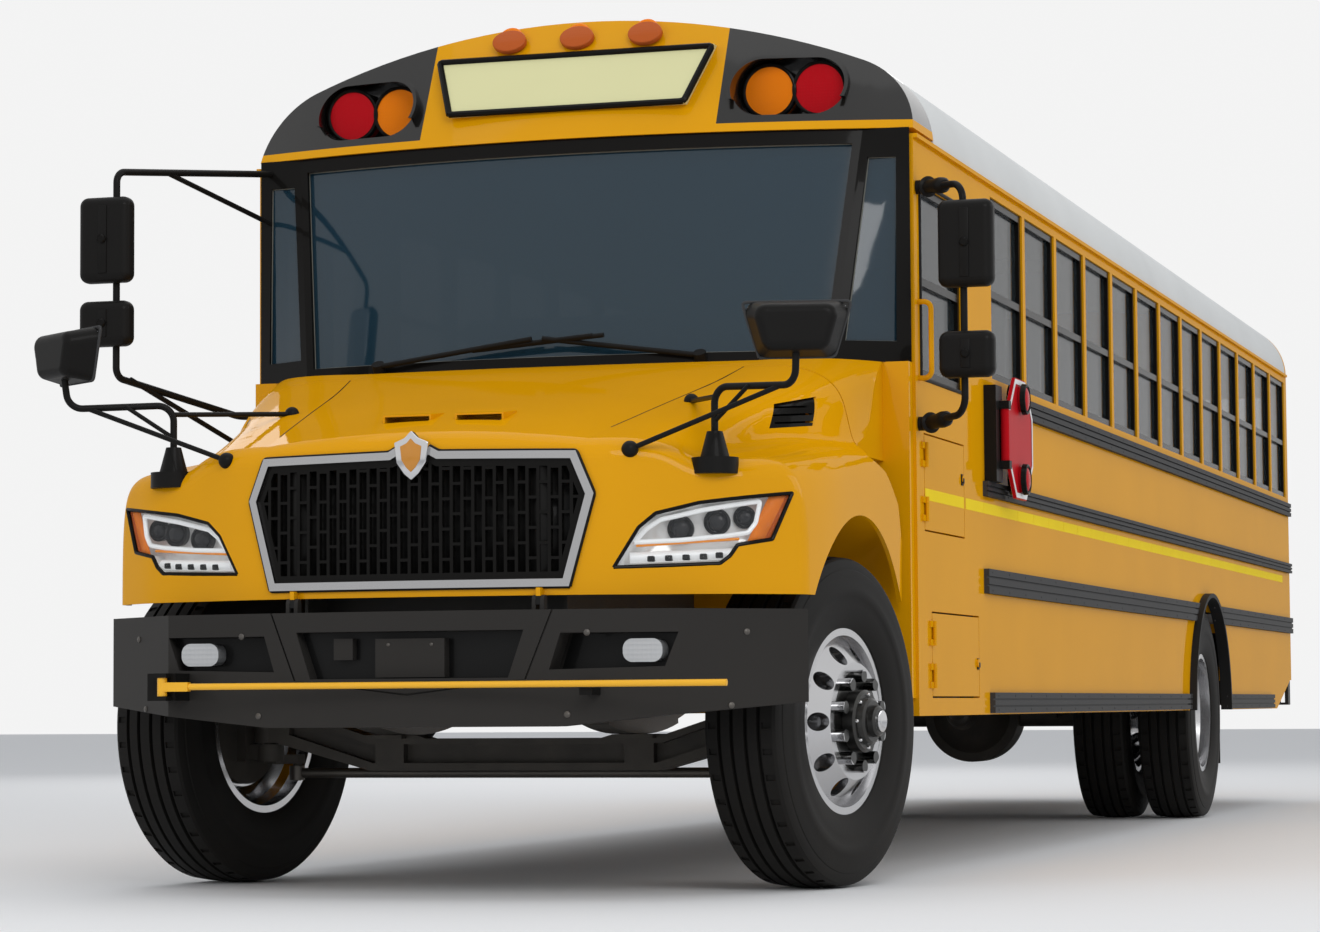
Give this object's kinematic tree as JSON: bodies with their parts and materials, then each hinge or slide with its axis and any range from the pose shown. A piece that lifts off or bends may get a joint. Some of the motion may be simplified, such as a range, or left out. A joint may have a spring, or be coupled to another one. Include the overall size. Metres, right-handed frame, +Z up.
{
  "type": "school bus",
  "caption": "School bus with its hood ahead of the cab: steered front wheels, dual rear wheels, doors, hatches, tilting hood, stop arm and crossing arm.",
  "frame": {"origin": "on the ground, in the middle of the bus's length and width", "axes": "+X to the bus's left, +Y to its rear, +Z up"},
  "size_m": [3.018, 11.464, 3.0293],
  "materials": {
    "body_yellow": "gloss",
    "roof_white": "gloss",
    "black_gloss": "gloss",
    "black_plastic": "satin",
    "bumper_grey": "satin",
    "rail_grey": "satin",
    "tyre": "matte",
    "rubber": "matte",
    "alloy": "polished",
    "glass": "tinted",
    "chassis_black": "satin",
    "cast": "rough",
    "steel": "worn",
    "chrome": "polished",
    "lamp_glass": "clear",
    "lamp_red": "gloss",
    "lamp_amber": "gloss",
    "sign_panel": "reflective",
    "stop_red": "gloss",
    "arm_yellow": "gloss",
    "seat_vinyl": "satin",
    "dash_grey": "matte",
    "floor_grey": "matte"
  },
  "bodies": {
    "body": {"frame_rails": "chassis_black", "front_axle": "cast", "leaf_springs": "steel", "rear_axle": "cast", "engine": "cast", "driveshaft": "steel", "fuel_tank": "chassis_black", "exhaust": "steel", "radiator": "chassis_black", "front_bumper": "bumper_grey", "fog_lamps": "lamp_glass", "rear_bumper": "bumper_grey", "left_wall": "body_yellow", "right_wall": "body_yellow", "roof": "roof_white", "rear_wall": "body_yellow", "floor": "floor_grey", "entrance_steps": "floor_grey", "cowl": "body_yellow", "windshield_frame": "black_gloss", "windshield": "glass", "front_cap": "body_yellow", "lamp_pods": "black_gloss", "red_lamps": "lamp_red", "amber_lamps": "lamp_amber", "signs": "sign_panel", "side_windows": "black_plastic", "window_glass": "glass", "rub_rails": "rail_grey", "rear_arch_rubber": "rubber", "arm_brackets": "black_plastic", "side_mirrors": "black_plastic", "seats": "seat_vinyl", "dashboard": "dash_grey", "wipers": "black_plastic"},
    "hood": {"hood": "body_yellow", "grille": "black_plastic", "grille_surround": "chrome", "headlamps": "lamp_glass", "hood_mirrors": "black_plastic"},
    "knuckle_left": {"knuckle_left": "cast"},
    "knuckle_right": {"knuckle_right": "cast"},
    "wheel_front_left": {"front_tyre_left": "tyre", "front_wheel_left": "alloy"},
    "wheel_front_right": {"front_tyre_right": "tyre", "front_wheel_right": "alloy"},
    "wheels_rear_left": {"rear_tyres_left": "tyre", "rear_wheels_left": "alloy"},
    "wheels_rear_right": {"rear_tyres_right": "tyre", "rear_wheels_right": "alloy"},
    "tie_rod": {"tie_rod": "steel"},
    "entrance_leaf_front": {"entrance_door_front": "black_gloss"},
    "entrance_leaf_rear": {"entrance_door_rear": "black_gloss"},
    "rear_door": {"emergency_door": "body_yellow"},
    "stop_arm": {"stop_arm": "stop_red"},
    "crossing_arm": {"crossing_arm": "arm_yellow"},
    "hatch_front": {"roof_hatch_front": "roof_white"},
    "hatch_rear": {"roof_hatch_rear": "roof_white"},
    "side_hatch_upper": {"upper_side_hatch": "body_yellow"},
    "side_hatch_lower": {"lower_side_hatch": "body_yellow"}
  },
  "joints": [
    {"name": "steer_left", "type": "hinge", "parent": "body", "child": "knuckle_left", "pos_m": [0.88, -4.668, 0.527], "axis": [0, 0, 1], "range_deg": [-27, 49]},
    {"name": "steer_right", "type": "hinge", "parent": "body", "child": "knuckle_right", "pos_m": [-0.88, -4.668, 0.527], "axis": [0, 0, 1], "range_deg": [-27, 49]},
    {"name": "tie_rod_swing", "type": "hinge", "parent": "knuckle_left", "child": "tie_rod", "pos_m": [0.91053, -4.51094, 0.361], "axis": [0, 0, 1], "range_deg": [-49, 27]},
    {"name": "roll_front_left", "type": "hinge", "parent": "knuckle_left", "child": "wheel_front_left", "pos_m": [1.00761, -4.69281, 0.527], "axis": [0.9816, -0.1908, 0], "continuous": true},
    {"name": "roll_front_right", "type": "hinge", "parent": "knuckle_right", "child": "wheel_front_right", "pos_m": [-1.00761, -4.64319, 0.527], "axis": [0.9816, -0.1908, 0], "continuous": true},
    {"name": "roll_rear_left", "type": "hinge", "parent": "body", "child": "wheels_rear_left", "pos_m": [0.892, 2.342, 0.527], "axis": [1, 0, 0], "continuous": true},
    {"name": "roll_rear_right", "type": "hinge", "parent": "body", "child": "wheels_rear_right", "pos_m": [-0.892, 2.342, 0.527], "axis": [1, 0, 0], "continuous": true},
    {"name": "hood_tilt", "type": "hinge", "parent": "body", "child": "hood", "pos_m": [0, -5.593, 0.9], "axis": [1, 0, 0], "range_deg": [0, 60]},
    {"name": "entrance_front", "type": "hinge", "parent": "body", "child": "entrance_leaf_front", "pos_m": [-1.209, -3.92, 1.4], "axis": [0, 0, 1], "range_deg": [0, 90]},
    {"name": "entrance_rear", "type": "hinge", "parent": "body", "child": "entrance_leaf_rear", "pos_m": [-1.209, -3.076, 1.4], "axis": [0, 0, 1], "range_deg": [-90, 0]},
    {"name": "rear_door_swing", "type": "hinge", "parent": "body", "child": "rear_door", "pos_m": [-0.317, 5.591, 1.7], "axis": [0, 0, 1], "range_deg": [0, 110]},
    {"name": "stop_arm_swing", "type": "hinge", "parent": "body", "child": "stop_arm", "pos_m": [1.262, -2.868, 1.564], "axis": [0, 0, -1], "range_deg": [0, 90]},
    {"name": "crossing_arm_swing", "type": "hinge", "parent": "body", "child": "crossing_arm", "pos_m": [-0.785, -5.714, 0.647], "axis": [0, 0, -1], "range_deg": [0, 90]},
    {"name": "hatch_front_lift", "type": "hinge", "parent": "body", "child": "hatch_front", "pos_m": [0, -1.087, 2.99515], "axis": [1, 0, 0], "range_deg": [0, 80]},
    {"name": "hatch_rear_lift", "type": "hinge", "parent": "body", "child": "hatch_rear", "pos_m": [0, 2.763, 2.99515], "axis": [1, 0, 0], "range_deg": [0, 80]},
    {"name": "side_hatch_upper_swing", "type": "hinge", "parent": "body", "child": "side_hatch_upper", "pos_m": [1.209, -3.915, 1.33], "axis": [0, 0, -1], "range_deg": [0, 95]},
    {"name": "side_hatch_lower_swing", "type": "hinge", "parent": "body", "child": "side_hatch_lower", "pos_m": [1.209, -3.824, 0.75], "axis": [0, 0, -1], "range_deg": [0, 95]}
  ],
  "couplings": [
    {"joint": "steer_right", "follows": "steer_left", "ratio": 1},
    {"joint": "tie_rod_swing", "follows": "steer_left", "ratio": -1},
    {"joint": "entrance_rear", "follows": "entrance_front", "ratio": -1}
  ]
}
